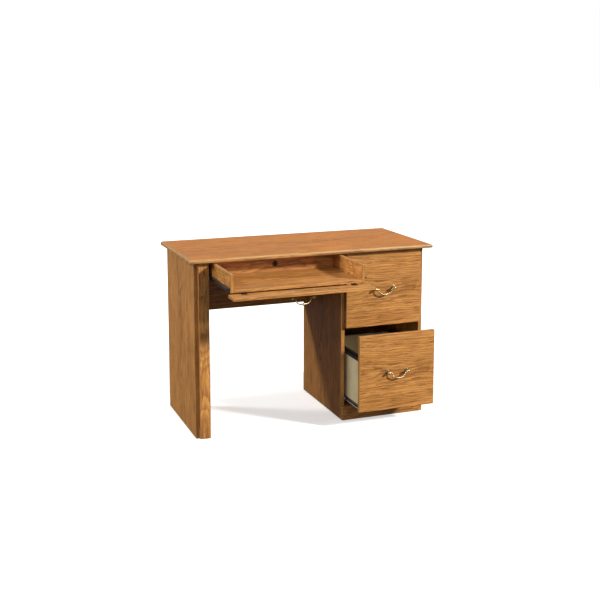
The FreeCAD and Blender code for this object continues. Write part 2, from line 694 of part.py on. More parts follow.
tray_leaves, flap_leaves, hinge_pins = [], [], []
for middle in ("leg_width + tray_gap + hinge_inset", "pedestal_x - tray_gap - hinge_inset"):
    left_end = f"{middle} - hinge_width / 2"
    right_end = f"{middle} + hinge_width / 2 - knuckle_length"
    plate = box(
        (left_end, f"{HINGE_Y} + {LEAF_GAP}", "tray_bottom - leaf"),
        ("hinge_width", f"leaf_reach - {LEAF_GAP}", "leaf"),
    )
    sleeves, bores, tongues = [], [], []
    for end in (left_end, right_end):
        sleeve, bore = knuckle(end, "knuckle_length", "hinge_pin_radius")
        sleeves.append(sleeve)
        bores.append(bore)
        tongues.append(box((end, HINGE_Y, "tray_bottom - leaf"), ("knuckle_length", LEAF_GAP, "leaf")))
    tray_leaves.append(cut(fuse([plate, *tongues, *sleeves]), bores))

    flap_plate = box(
        (left_end, f"{HINGE_Y} - leaf_reach", FLAP_INNER_FACE),
        ("hinge_width", f"leaf_reach - {LEAF_GAP}", "leaf"),
    )
    centre_start = f"{left_end} + knuckle_length + knuckle_play"
    centre_length = "hinge_width - 2 * knuckle_length - 2 * knuckle_play"
    sleeve, bore = knuckle(centre_start, centre_length, "hinge_pin_radius + running_play")
    tongue_corner = (centre_start, f"{HINGE_Y} - {LEAF_GAP}", FLAP_INNER_FACE)
    tongue = box(tongue_corner, (centre_length, LEAF_GAP, "leaf"))
    flap_leaves.append(cut(fuse([flap_plate, tongue, sleeve]), [bore]))
    hinge_pins.append(rod((left_end, HINGE_Y, HINGE_Z), "+x", "hinge_pin_radius", "hinge_width"))
piece(group(tray_leaves), "hinge_tray_leaves")
piece(group(flap_leaves), "hinge_flap_leaves")
piece(group(hinge_pins), "hinge_pins")

pull(
    "flap",
    "(leg_width + pedestal_x) / 2",
    f"{HINGE_Y} - {LEAF_GAP} - flap_height / 2",
    f"{FLAP_INNER_FACE} - thin_board",
    "-z",
    "thin_board",
)

# ---------------------------------------------------------------- check and export

doc.recompute()
failed = [item.Label for item in doc.Objects if {"Invalid", "Error"} & set(item.State)]
failed += [item.Label for item in pieces if item.Shape.isNull() or not item.Shape.isValid()]
if failed:
    raise RuntimeError(f"these did not build: {failed}")
os.makedirs("parts", exist_ok=True)
for item in pieces:
    item.Shape.exportStep(f"parts/{item.Label}.step")
print(len(pieces), "pieces")
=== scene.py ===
import json
import math

import bmesh
import bpy
from mathutils import Matrix, Vector


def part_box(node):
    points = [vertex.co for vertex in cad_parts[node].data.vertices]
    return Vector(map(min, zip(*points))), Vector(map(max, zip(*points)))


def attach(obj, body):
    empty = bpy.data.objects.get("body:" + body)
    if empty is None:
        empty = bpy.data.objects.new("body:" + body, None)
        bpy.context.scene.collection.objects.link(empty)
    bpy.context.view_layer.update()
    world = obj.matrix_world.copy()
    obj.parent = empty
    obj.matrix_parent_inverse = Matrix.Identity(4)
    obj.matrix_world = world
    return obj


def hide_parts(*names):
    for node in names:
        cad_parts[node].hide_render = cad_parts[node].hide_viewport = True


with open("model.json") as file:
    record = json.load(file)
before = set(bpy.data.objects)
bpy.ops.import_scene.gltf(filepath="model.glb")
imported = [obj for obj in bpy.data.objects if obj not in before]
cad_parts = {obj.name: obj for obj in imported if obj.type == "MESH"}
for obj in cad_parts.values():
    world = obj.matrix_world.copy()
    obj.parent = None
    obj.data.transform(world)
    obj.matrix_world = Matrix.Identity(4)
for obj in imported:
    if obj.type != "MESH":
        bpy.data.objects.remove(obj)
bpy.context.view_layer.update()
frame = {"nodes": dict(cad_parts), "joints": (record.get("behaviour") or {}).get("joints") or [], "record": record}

# A computer desk in oak-print laminate. The boards, rails, hinge leaves and brackets keep their
# CAD shapes and get their finishes here. The pulls, rollers, screws, nails and glides are made
# again in finer shapes, in the places that the frame gives.

MM = 0.001
SLOT_OF = {part["node"]: part["material_slot"] for part in frame["record"]["subparts"]}


# ---------------------------------------------------------------- nodes and colours


def linear(hex_colour):
    """An sRGB hex colour as the linear colour that a shader takes."""
    shares = [int(hex_colour[start : start + 2], 16) / 255 for start in (1, 3, 5)]
    return [s / 12.92 if s <= 0.04045 else ((s + 0.055) / 1.055) ** 2.4 for s in shares] + [1]


def live(sockets, name):
    """The socket of that name or number that the node's settings leave in use."""
    if isinstance(name, int):
        return sockets[name]
    return next(socket for socket in sockets if socket.enabled and socket.name == name)


def feed(tree, node, inputs):
    """Sets a node's inputs. Each takes a value, or the output or node that feeds it."""
    for name, value in inputs.items():
        if isinstance(value, bpy.types.Node):
            value = next(socket for socket in value.outputs if socket.enabled)
        if isinstance(value, bpy.types.NodeSocket):
            tree.links.new(value, live(node.inputs, name))
        else:
            live(node.inputs, name).default_value = value


def add(tree, kind, inputs=None, **settings):
    """Adds a node with those settings and inputs."""
    made = tree.nodes.new(kind)
    for name, value in settings.items():
        setattr(made, name, value)
    feed(tree, made, inputs or {})
    return made


def declare(tree, direction, **kinds):
    """Names a group's inputs or outputs, each with the kind of its socket."""
    for name, kind in kinds.items():
        tree.interface.new_socket(name.replace("_", " "), in_out=direction, socket_type=f"NodeSocket{kind}")


def new_finish(name, **constants):
    """A material with one principled shader, whose constant sockets are set by name."""
    material = bpy.data.materials.new(name)
    material.use_nodes = True
    tree = material.node_tree
    shader = tree.nodes["Principled BSDF"]
    feed(tree, shader, {socket.replace("_", " "): value for socket, value in constants.items()})
    return material, tree, shader


def place_in_mm(tree):
    """The piece's own coordinates, in millimetres."""
    where = add(tree, "ShaderNodeTexCoord").outputs["Object"]
    return add(tree, "ShaderNodeVectorMath", {0: where, "Scale": 1 / MM}, operation="SCALE")


def marks(tree, place, size, detail, **more):
    """A cloudy pattern of marks that have that size in millimetres along x, y and z."""
    rate = [1 / length for length in size]
    at = add(tree, "ShaderNodeVectorMath", {0: place, 1: rate}, operation="MULTIPLY")
    return add(tree, "ShaderNodeTexNoise", {"Vector": at, "Scale": 1.0, "Detail": detail, **more})


# ---------------------------------------------------------------- oak print

# How large the print's marks are in millimetres, along the grain, across it and through the board.
HEART_WANDER = (300, 90, 23)
HEART_DEPTH = (420, math.inf, 17)
RING_SHIVER = (46, 7, 11)
VESSEL = (11, 0.6, 3)
VESSEL_BUNDLE = (60, 3, 13)
FIBRE = (130, 7, 19)
CLOUD = (380, 120, 29)

# The heart of the log wanders this far to each side, and lies this deep below the face.
WANDER_REACH = 31.0
SHALLOW_HEART = 14.0
DEEP_HEART = 90.0
# A growth ring is 9 mm wide, because rings of 3 mm would blur into one tone from a room away.
RING_WIDTH = 9.0
RING_SHAKE = 1.1
# An edge band is cut from the straight-grained side of the print, this far from its middle.
EDGE_BAND_AT = 95.0
# How far the rings, the vessels and their bundles darken the ground.
RING_INK = 0.8
PORE_INK = 0.7
BUNDLE_INK = 0.75
RUBBED_EDGE = "#E9CB98"
VESSEL_DEPTH = 0.1


def ramp_stops(node, stops):
    """Gives a colour ramp its (position, grey) stops."""
    ramp = node.color_ramp
    while len(ramp.elements) > 1:
        ramp.elements.remove(ramp.elements[-1])
    for number, (position, grey) in enumerate(stops):
        stop = ramp.elements[0] if number == 0 else ramp.elements.new(position)
        stop.position = position
        stop.color = (grey, grey, grey, 1)


def spot_on_print(tree, place, facing):
    """Where a spot of the board lies on the print. Edges and ends turn to bands that run along them."""
    on_end = add(tree, "ShaderNodeMath", {0: facing["X"], 1: 0.5}, operation="GREATER_THAN")
    on_edge = add(tree, "ShaderNodeMath", {0: facing["Y"], 1: 0.5}, operation="GREATER_THAN")
    off_face = add(tree, "ShaderNodeMath", {0: on_end, 1: on_edge}, operation="MAXIMUM")
    band = add(tree, "ShaderNodeMath", {0: place["Z"], 1: EDGE_BAND_AT}, operation="ADD")
    along = add(tree, "ShaderNodeMix", {"Factor": on_end, "A": place["X"], "B": place["Y"]})
    across = add(tree, "ShaderNodeMix", {"Factor": off_face, "A": place["Y"], "B": band})
    face_sheet = add(tree, "ShaderNodeMix", {"Factor": on_edge, "A": place["Z"], "B": place["Y"]})
    sheet = add(tree, "ShaderNodeMix", {"Factor": on_end, "A": face_sheet, "B": place["X"]})
    return add(tree, "ShaderNodeCombineXYZ", {"X": along, "Y": across, "Z": sheet})


def distance_from_heart(tree, spot):
    """How far a spot lies from the log's heart, in millimetres."""
    across = add(tree, "ShaderNodeSeparateXYZ", {0: spot}).outputs["Y"]
    wander = marks(tree, spot, HEART_WANDER, 2.0)
    swing = {0: wander, 1: 2 * WANDER_REACH, 2: across}
    aside = add(tree, "ShaderNodeMath", swing, operation="MULTIPLY_ADD")
    off_heart = add(tree, "ShaderNodeMath", {0: aside, 1: WANDER_REACH}, operation="SUBTRACT")
    share = marks(tree, spot, HEART_DEPTH, 1.0)
    depths = {0: share, "From Min": 0.3, "From Max": 0.7, "To Min": SHALLOW_HEART, "To Max": DEEP_HEART}
    depth = add(tree, "ShaderNodeMapRange", depths)
    flat = add(tree, "ShaderNodeCombineXYZ", {"X": off_heart, "Y": depth})
    return add(tree, "ShaderNodeVectorMath", {0: flat}, operation="LENGTH")


def early_wood(tree, spot):
    """How open the wood is at a spot: each ring opens sharply, then closes slowly into late wood."""
    shiver = marks(tree, spot, RING_SHIVER, 3.0)
    away = distance_from_heart(tree, spot)
    rings = add(tree, "ShaderNodeMath", {0: away, 1: 1 / RING_WIDTH}, operation="MULTIPLY")
    ring = add(tree, "ShaderNodeMath", {0: shiver, 1: RING_SHAKE, 2: rings}, operation="MULTIPLY_ADD")
    phase = add(tree, "ShaderNodeMath", {0: ring}, operation="FRACT")
    number = add(tree, "ShaderNodeMath", {0: ring}, operation="FLOOR")
    chance = add(tree, "ShaderNodeTexWhiteNoise", {"W": number}, noise_dimensions="1D")
    vigour = add(tree, "ShaderNodeMapRange", {0: chance, "To Min": 0.35, "To Max": 1.0})
    spring = add(tree, "ShaderNodeValToRGB", {0: phase})
    ramp_stops(spring, ((0.0, 0.0), (0.10, 1.0), (0.34, 0.55), (0.75, 0.08), (1.0, 0.0)))
    return add(tree, "ShaderNodeMath", {0: spring, 1: vigour}, operation="MULTIPLY")


def vessels(tree, spot, openness):
    """Single vessels, dark dashes in the early wood, and the bundles that show from a room away."""
    vessel = marks(tree, spot, VESSEL, 1.0)
    dashes = add(tree, "ShaderNodeMapRange", {0: vessel, "From Min": 0.54, "From Max": 0.68})
    share = add(tree, "ShaderNodeMapRange", {0: openness, "To Min": 0.3, "To Max": 1.0})
    pores = add(tree, "ShaderNodeMath", {0: dashes, 1: share}, operation="MULTIPLY")
    bundle = marks(tree, spot, VESSEL_BUNDLE, 2.0)
    bundles = add(tree, "ShaderNodeMapRange", {0: bundle, "From Min": 0.5, "From Max": 0.74})
    return pores, bundles


def rubbed_edges(tree, facing, fibres):
    """The eased edges face none of the board's own directions squarely, and the print wears there."""
    flat = add(tree, "ShaderNodeMath", {0: facing["X"], 1: facing["Y"]}, operation="MAXIMUM")
    square = add(tree, "ShaderNodeMath", {0: flat, 1: facing["Z"]}, operation="MAXIMUM")
    eased = add(
        tree, "ShaderNodeMapRange", {0: square, "From Min": 0.95, "From Max": 0.75, "To Max": 0.45}
    )
    return add(tree, "ShaderNodeMath", {0: eased, 1: fibres}, operation="MULTIPLY")


def inked(tree, given, fibres, openness, pores, bundles, rubbed):
    """The print's colour: each ink laid over the one before, from the pale ground to the worn edges."""
    ring_share = add(tree, "ShaderNodeMath", {0: openness, 1: RING_INK}, operation="MULTIPLY")
    bundle_share = add(tree, "ShaderNodeMath", {0: bundles, 1: BUNDLE_INK}, operation="MULTIPLY")
    dark = {0: pores, 1: PORE_INK, 2: bundle_share}
    dark_share = add(tree, "ShaderNodeMath", dark, operation="MULTIPLY_ADD", use_clamp=True)
    colour = given["Pale"]
    for share, ink in (
        (fibres, given["Warm"]),
        (ring_share, given["Ring"]),
        (dark_share, given["Pore"]),
        (rubbed, linear(RUBBED_EDGE)),
    ):
        colour = add(tree, "ShaderNodeMix", {"Factor": share, "A": colour, "B": ink}, data_type="RGBA")
    return colour


def oak_print():
    """Plain-sawn oak, as laminate makers print it, as a node group.

    Place is in millimetres on the board: along the grain, across it and through the board.
    The growth rings are those of a log whose heart wanders below the face, so that they run
    straight near a board's edges and arch in its middle. Facing is the normal on the same
    axes: edges and ends get a straight-grained edge band that runs along them.
    """
    tree = bpy.data.node_groups.new("plain_sawn_oak_print", "ShaderNodeTree")
    declare(tree, "INPUT", Place="Vector", Facing="Vector")
    declare(tree, "INPUT", Pale="Color", Warm="Color", Ring="Color", Pore="Color")
    declare(tree, "OUTPUT", Colour="Color", Height="Float", Roughness="Float")
    given = add(tree, "NodeGroupInput").outputs
    place = add(tree, "ShaderNodeSeparateXYZ", {0: given["Place"]}).outputs
    unsigned = add(tree, "ShaderNodeVectorMath", {0: given["Facing"]}, operation="ABSOLUTE")
    facing = add(tree, "ShaderNodeSeparateXYZ", {0: unsigned}).outputs

    spot = spot_on_print(tree, place, facing)
    openness = early_wood(tree, spot)
    pores, bundles = vessels(tree, spot, openness)
    fibre = marks(tree, spot, FIBRE, 4.0, Roughness=0.6)
    fibres = add(tree, "ShaderNodeMapRange", {0: fibre, "From Min": 0.32, "From Max": 0.68})
    rubbed = rubbed_edges(tree, facing, fibres)
    colour = inked(tree, given, fibres, openness, pores, bundles, rubbed)

    cloud = marks(tree, spot, CLOUD, 2.0)
    clouds = add(
        tree, "ShaderNodeMapRange", {0: cloud, "From Min": 0.3, "From Max": 0.7, "To Min": 0.9, "To Max": 1.1}
    )
    toned = add(tree, "ShaderNodeVectorMath", {0: colour, "Scale": clouds}, operation="SCALE")
    sunk = add(tree, "ShaderNodeMath", {0: bundles, 1: 0.3, 2: pores}, operation="MULTIPLY_ADD")
    height = add(tree, "ShaderNodeMath", {0: 1.0, 1: sunk}, operation="SUBTRACT")
    gloss = add(tree, "ShaderNodeMapRange", {0: sunk, "To Min": 0.36, "To Max": 0.52})
    rough = add(tree, "ShaderNodeMath", {0: gloss, 1: clouds}, operation="MULTIPLY")
    add(tree, "NodeGroupOutput", {"Colour": toned, "Height": height, "Roughness": rough})
    return tree


OAK_PRINT = oak_print()

# Honey oak, from the light late wood to the dark vessels.
HONEY = {"Pale": "#DB9D55", "Warm": "#B47534", "Ring": "#8A5222", "Pore": "#4F2C13"}
# The worktop's print is redder, and the moulding's is greyer and rubbed pale.
RUSSET = {"Pale": "#DC8E33", "Warm": "#C27425", "Ring": "#98541A", "Pore": "#643510"}
RUBBED = {"Pale": "#C6924F", "Warm": "#AF783B", "Ring": "#8C5B2B", "Pore": "#633F1F"}
PRINTS = {
    "top_panel": RUSSET,
    "front_edge_moulding": RUBBED,
    "left_edge_moulding": RUBBED,
    "right_edge_moulding": RUBBED,
}


def board_axes(node):
    """A board's middle, and the turn that takes the grain to x and the board's thickness to z."""
    low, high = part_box(node)
    size = high - low
    _, across, along = sorted(range(3), key=lambda axis: size[axis])
    rows = [Vector([float(axis == row) for axis in range(3)]) for row in (along, across)]
    turn = Matrix((rows[0], rows[1], rows[0].cross(rows[1])))
    return (low + high) / 2, turn


def oak_laminate(node):
    """Oak-print melamine on chipboard: satin, hard and flat, with the vessels pressed into it."""
    middle, turn = board_axes(node)
    name = f"oak_print_laminate.{node}"
    material, tree, shader = new_finish(name, Coat_Weight=0.12, Coat_Roughness=0.25, IOR=1.5)
    where = add(tree, "ShaderNodeTexCoord").outputs
    turned_by = turn.to_euler("XYZ")
    to_board = {
        "Vector": where["Object"],
        "Location": turn @ middle / -MM,
        "Rotation": turned_by,
        "Scale": (1 / MM, 1 / MM, 1 / MM),
    }
    place = add(tree, "ShaderNodeMapping", to_board)
    to_grain = {"Vector": where["Normal"], "Rotation": turned_by}
    facing = add(tree, "ShaderNodeMapping", to_grain, vector_type="VECTOR")
    inks = {ink: linear(colour) for ink, colour in PRINTS.get(node, HONEY).items()}
    on_board = {"Place": place, "Facing": facing, **inks}
    printed = add(tree, "ShaderNodeGroup", on_board, node_tree=OAK_PRINT).outputs
    relief = {"Height": printed["Height"], "Strength": 0.5, "Distance": VESSEL_DEPTH * MM}
    pressed = add(tree, "ShaderNodeBump", relief)
    look = {"Base Color": printed["Colour"], "Roughness": printed["Roughness"], "Normal": pressed}
    feed(tree, shader, look)
    return material


# ---------------------------------------------------------------- other finishes


def mottled_finish(name, colours, size, roughness, bump, stretch=(1, 1, 1), **constants):
    """A finish that drifts between two colours and two roughnesses, over a fine bump.

    size is (drift, grain) in millimetres; bump is the grain's height in millimetres.
    """
    material, tree, shader = new_finish(name, **constants)
    place = place_in_mm(tree)
    drift_size, grain_size = size
    at = add(tree, "ShaderNodeVectorMath", {0: place, 1: stretch}, operation="DIVIDE")
    drift = add(tree, "ShaderNodeTexNoise", {"Vector": at, "Scale": 1 / drift_size, "Detail": 4.0})
    grain = add(tree, "ShaderNodeTexNoise", {"Vector": at, "Scale": 1 / grain_size, "Detail": 3.0})
    spread = add(tree, "ShaderNodeMapRange", {0: drift, "From Min": 0.35, "From Max": 0.65})
    first, second = (linear(colour) for colour in colours)
    tint = add(tree, "ShaderNodeMix", {"Factor": spread, "A": first, "B": second}, data_type="RGBA")
    speck = add(tree, "ShaderNodeMapRange", {0: grain, "To Min": 0.9, "To Max": 1.1})
    shade = add(tree, "ShaderNodeVectorMath", {0: tint, "Scale": speck}, operation="SCALE")
    low, high = roughness
    polish = {0: drift, "From Min": 0.3, "From Max": 0.7, "To Min": low, "To Max": high}
    rough = add(tree, "ShaderNodeMapRange", polish)
    relief = add(tree, "ShaderNodeBump", {"Height": grain, "Strength": 0.6, "Distance": bump * MM})
    feed(tree, shader, {"Base Color": shade, "Roughness": rough, "Normal": relief})
    return material, tree, shader, place, shade


def overlaid(finish, share, colour):
    """Lays a colour over a mottled finish by a share, and gives back the material."""
    material, tree, shader, _, shade = finish
    layers = {"Factor": share, "A": shade, "B": linear(colour)}
    feed(tree, shader, {"Base Color": add(tree, "ShaderNodeMix", layers, data_type="RGBA")})
    return material


def almond_melamine():
    """Almond melamine foil on chipboard: smooth, with a faint orange peel and grey scuffs."""
    finish = mottled_finish("almond_melamine", ("#DCCFA8", "#D3C49A"), (55, 1.6), (0.4, 0.52), 0.05)
    _, tree, _, place, _ = finish
    stroke = marks(tree, place, (30, 42, 1.4), 3.0)
    scuff = add(tree, "ShaderNodeMapRange", {0: stroke, "From Min": 0.62, "From Max": 0.72, "To Max": 0.3})
    return overlaid(finish, scuff, "#A99F84")


def hardboard():
    """Hardboard: steamed wood fibre pressed to a dense brown sheet, flecked with lighter fibre."""
    finish = mottled_finish("hardboard", ("#8A6038", "#7F5833"), (60, 0.9), (0.55, 0.7), 0.12)
    _, tree, _, place, _ = finish
    fleck = add(tree, "ShaderNodeTexVoronoi", {"Vector": place, "Scale": 1 / 2.4})
    light = add(tree, "ShaderNodeMapRange", {0: fleck, "From Min": 0.34, "From Max": 0.12, "To Max": 0.35})
    return overlaid(finish, light, "#B08A5C")


def epoxy_steel(name, bends):
    """Black epoxy on roll-formed steel: a low orange peel, worn to bare metal in faint streaks, with a painted
    highlight along each lower bend: a pale band where the lip would catch the light.

    bends are the heights of the lower bends, in millimetres, where the rollers run and the painted highlight bands
    lie.
    """
    finish = mottled_finish(name, ("#1B1B1D", "#262627"), (30, 1.3), (0.3, 0.46), 0.04)
    _, tree, _, place, _ = finish
    streak = marks(tree, place, (0.7, 90, 0.7), 2.0)
    rubbed = add(tree, "ShaderNodeMapRange", {0: streak, "From Min": 0.6, "From Max": 0.74, "To Max": 0.4})
    height = add(tree, "ShaderNodeSeparateXYZ", {0: place}).outputs["Z"]
    # Painted highlight: a ragged pale band along each lower bend stands in for the light that the lip catches.
    for bend in bends:
        off = add(tree, "ShaderNodeMath", {0: height, 1: bend}, operation="SUBTRACT")
        away = add(tree, "ShaderNodeMath", {0: off}, operation="ABSOLUTE")
        ragged = add(tree, "ShaderNodeMath", {0: streak, 1: 3.0, 2: away}, operation="MULTIPLY_ADD")
        near = add(tree, "ShaderNodeMapRange", {0: ragged, "From Min": 6.0, "From Max": 4.5, "To Max": 0.9})
        rubbed = add(tree, "ShaderNodeMath", {0: rubbed, 1: near}, operation="MAXIMUM")
    # The pale colour is laid by both the streaks of wear and the painted highlight bands.
    return overlaid(finish, rubbed, "#C9C6BE")


def lower_bends(*nodes):
    """The heights of the rails' lower bends, in millimetres."""
    return [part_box(node)[0].z / MM for node in nodes]


def antique_brass():
    """Castings plated with brass, darkened, and rubbed bright again where fingers and cloths reach."""
    finish = mottled_finish(
        "antique_brass", ("#F3DDAE", "#DFC084"), (5, 0.8), (0.26, 0.4), 0.02, Metallic=1.0
    )
    _, tree, shader, place, _ = finish
    hollow = add(tree, "ShaderNodeAttribute", attribute_name="hollow").outputs["Fac"]
    cloud = add(tree, "ShaderNodeTexNoise", {"Vector": place, "Scale": 1 / 3.5, "Detail": 4.0})
    reach = add(tree, "ShaderNodeMath", {0: cloud, 1: 0.7, 2: hollow}, operation="MULTIPLY_ADD")
    dark = add(tree, "ShaderNodeMapRange", {0: reach, "From Min": 0.6, "From Max": 1.1})
    dull = add(tree, "ShaderNodeMapRange", {0: dark, "To Min": 0.28, "To Max": 0.55})
    feed(tree, shader, {"Roughness": dull})
    return overlaid(finish, dark, "#3A2817")


def zinc_steel():
    """Zinc-plated steel: bluish grey, with the straw tint of its passivation."""
    finish = mottled_finish(
        "zinc_plated_steel", ("#B9BDC2", "#A3A7A8"), (7, 0.7), (0.28, 0.42), 0.02, Metallic=1.0
    )
    _, tree, _, place, _ = finish
    tint = add(tree, "ShaderNodeTexNoise", {"Vector": place, "Scale": 1 / 9, "Detail": 1.0})
    straw = add(tree, "ShaderNodeMapRange", {0: tint, "From Min": 0.5, "From Max": 0.7, "To Max": 0.5})
    return overlaid(finish, straw, "#C2B07C")


FINISHES = {
    "almond_board": almond_melamine(),
    "hardboard": hardboard(),
    "tray_rail_steel": epoxy_steel("tray_rail_epoxy", []),
    # The drawer rails carry the painted highlight bands along their lower bends.
    "drawer_rail_steel": epoxy_steel(
        "drawer_rail_epoxy_painted_highlight", lower_bends("upper_drawer_moving_rails", "lower_drawer_moving_rails")
    ),
    "antique_brass": antique_brass(),
    "zinc_steel": zinc_steel(),
    # Hinge leaves: steel blued nearly black, with brown showing through at the rubbed places.
    "black_steel": mottled_finish(
        "blued_steel", ("#161415", "#2B2320"), (6, 0.6), (0.34, 0.55), 0.03, Metallic=1.0
    )[0],
    # Rollers: turned from natural nylon, milky, and a little yellowed by grease.
    "nylon": mottled_finish("natural_nylon", ("#E6E2D6", "#D8D0B8"), (6, 0.5), (0.42, 0.58), 0.02)[0],
    # File rails: extruded black polystyrene with faint draw lines along them.
    "black_plastic": mottled_finish(
        "black_polystyrene", ("#161617", "#222223"), (18, 0.8), (0.38, 0.55), 0.03, stretch=(1, 30, 1)
    )[0],
    # Glides: moulded brown polythene, dulled by the floor.
    "glide_plastic": mottled_finish("brown_polythene", ("#4A3423", "#3A281B"), (5, 0.6), (0.5, 0.7), 0.03)[0],
}

for node, cad_object in frame["nodes"].items():
    slot = SLOT_OF[node]
    cad_object.material_slots[0].material = FINISHES.get(slot) or oak_laminate(node)


# ---------------------------------------------------------------- finding places in the frame


def loose_solids(node):
    """The corner points of each separate solid in a CAD node."""
    mesh = bmesh.new()
    mesh.from_mesh(frame["nodes"][node].data)
    bmesh.ops.remove_doubles(mesh, verts=mesh.verts, dist=0.001 * MM)
    waiting = set(mesh.verts)
    solids = []
    while waiting:
        reached = [waiting.pop()]
        for corner in reached:
            for edge in corner.link_edges:
                other = edge.other_vert(corner)
                if other in waiting:
                    waiting.remove(other)
                    reached.append(other)
        solids.append([corner.co.copy() for corner in reached])
    mesh.free()
    return sorted(solids, key=lambda solid: tuple(min(solid, key=tuple)))


def box_of(points):
    """The low and high corners of the box round those points."""
    low, high = (Vector([pick(p[axis] for p in points) for axis in range(3)]) for pick in (min, max))
    return low, high


def round_solid(points):
    """A round solid's axis, its middle on that axis, its length and its outer and inner radius."""
    low, high = box_of(points)
    size = high - low
    spread = [abs(size[(axis + 1) % 3] - size[(axis + 2) % 3]) for axis in range(3)]
    axis = spread.index(min(spread))
    middle = (low + high) / 2
    flat = [p - middle for p in points]
    for spot in flat:
        spot[axis] = 0.0
    radii = [spot.length for spot in flat]
    return axis, middle, size[axis], max(radii), min(radii)


def headed(points):
    """Where a screw's or nail's head stands on the surface: (seat's middle, outward, length)."""
    axis, middle, length, radius, _ = round_solid(points)
    outward = Vector([float(a == axis) for a in range(3)])
    rim = 0.9 * radius
    off = [p - middle for p in points]
    head = [p for p in off if (p - outward * p.dot(outward)).length > rim]
    if sum(p.dot(outward) for p in head) < 0:
        outward = -outward
    return middle + outward * length / 2, outward, length


# ---------------------------------------------------------------- building shapes

# How many scallops run round a pull's rosette.
SCALLOPS = 20


def turned(outline, steps):
    """A solid of revolution about z, from (radius, height, scallop depth) points.

    An outline that starts and ends on the axis is closed there, and any other is a ring. The
    hollow attribute is 1 in the scallops and along the inward corners, where dirt gathers.
    """
    mesh = bmesh.new()
    hollow = mesh.verts.layers.float.new("hollow")
    rings = []
    for place, (radius, height, *depth) in enumerate(outline):
        before = Vector(outline[place - 1][:2])
        after = Vector(outline[(place + 1) % len(outline)][:2])
        here = Vector((radius, height))
        into, out = here - before, after - here
        turn = into.x * out.y - into.y * out.x
        sunk = float(turn < 0 and 0 < place < len(outline) - 1)
        ring = []
        for step in range(steps if radius > 0 else 1):
            angle = math.tau * step / steps
            groove = (0.5 - 0.5 * math.cos(SCALLOPS * angle)) if depth else 0.0
            reach = radius - (depth[0] * groove if depth else 0.0)
            corner = mesh.verts.new((reach * math.cos(angle), reach * math.sin(angle), height))
            corner[hollow] = max(sunk, groove)
            ring.append(corner)
        rings.append(ring)
    is_ring = outline[0][0] > 0
    if is_ring:
        rings.append(rings[0])
    skin(mesh, rings, steps)
    bmesh.ops.recalc_face_normals(mesh, faces=mesh.faces)
    return mesh


def skin(mesh, rings, steps):
    """Joins each ring of corners to the next with faces. A ring may be a single corner, a pole."""
    for low, high in zip(rings, rings[1:]):
        for step in range(steps):
            ahead = (step + 1) % steps
            lower = (low[step % len(low)], low[ahead % len(low)])
            upper = (high[ahead % len(high)], high[step % len(high)])
            mesh.faces.new(dict.fromkeys(lower + upper))


def arc(centre_radius, centre_height, radius, start, end, count):
    """Outline points on an arc, in degrees from straight out, all in millimetres."""
    points = []
    for step in range(count + 1):
        angle = math.radians(start + (end - start) * step / count)
        # Rounding brings an arc's end on the axis to exactly 0, which closes the pole.
        out = round(centre_radius + radius * math.cos(angle), 9)
        points.append((out, centre_height + radius * math.sin(angle)))
    return points


def standing(outward, at):
    """The move that stands a shape made in millimetres along z on a spot, pointing outward."""
    turn = Vector(outward).to_track_quat("Z", "Y").to_matrix().to_4x4()
    return Matrix.Translation(at) @ turn @ Matrix.Scale(MM, 4)


def finished(name, meshes, body, slot, replaced, crease=35):
    """Joins meshes into one piece, finishes it and hands it to its body."""
    data = bpy.data.meshes.new(name)
    whole = bmesh.new()
    for mesh in meshes:
        mesh.to_mesh(data)
        mesh.free()
        whole.from_mesh(data)
    whole.to_mesh(data)
    whole.free()
    data.polygons.foreach_set("use_smooth", [True] * len(data.polygons))
    data.set_sharp_from_angle(angle=math.radians(crease))
    data.materials.append(FINISHES[slot])
    return handed_over(bpy.data.objects.new(name, data), body, replaced)


def handed_over(item, body, replaced):
    """Puts a piece in the scene, hands it to its body and hides the CAD parts that it replaces."""
    if item.name not in bpy.context.scene.collection.objects:
        bpy.context.scene.collection.objects.link(item)
    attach(item, body)
    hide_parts(*replaced)
    return item


# ---------------------------------------------------------------- screws, nails and glides


HEAD_STEPS = 7
SHANK_STEPS = 26
FASTENER_SIDES = 20
FASTENER_CREASE = 40
SHORTEST_SHANK = 8.0


def rod(tree, end, steps, radius):
    """A round rod from the seat to an end, whose radius is a field along it."""
    line = add(tree, "GeometryNodeCurvePrimitiveLine", {"End": end})
    spine = add(tree, "GeometryNodeResampleCurve", {"Curve": line, "Count": steps})
    circle = add(tree, "GeometryNodeCurvePrimitiveCircle", {"Resolution": FASTENER_SIDES, "Radius": 1.0})
    sweep = {"Curve": spine, "Profile Curve": circle.outputs["Curve"], "Scale": radius, "Fill Caps": True}
    return add(tree, "GeometryNodeCurveToMesh", sweep)


def domed_head(tree, given, crown):
    """A flattened dome: its radius falls off as a circle's does, to a small flat crown."""
    share = add(tree, "GeometryNodeSplineParameter").outputs["Factor"]
    risen = add(tree, "ShaderNodeMath", {0: share, 1: 0.95}, operation="MULTIPLY")
    squared = add(tree, "ShaderNodeMath", {0: risen, 1: 2.0}, operation="POWER")
    left = add(tree, "ShaderNodeMath", {0: 1.0, 1: squared}, operation="SUBTRACT")
    fall = add(tree, "ShaderNodeMath", {0: left, 1: 0.5}, operation="POWER")
    radius = add(tree, "ShaderNodeMath", {0: fall, 1: given["Head Radius"]}, operation="MULTIPLY")
    return rod(tree, crown, HEAD_STEPS, radius)


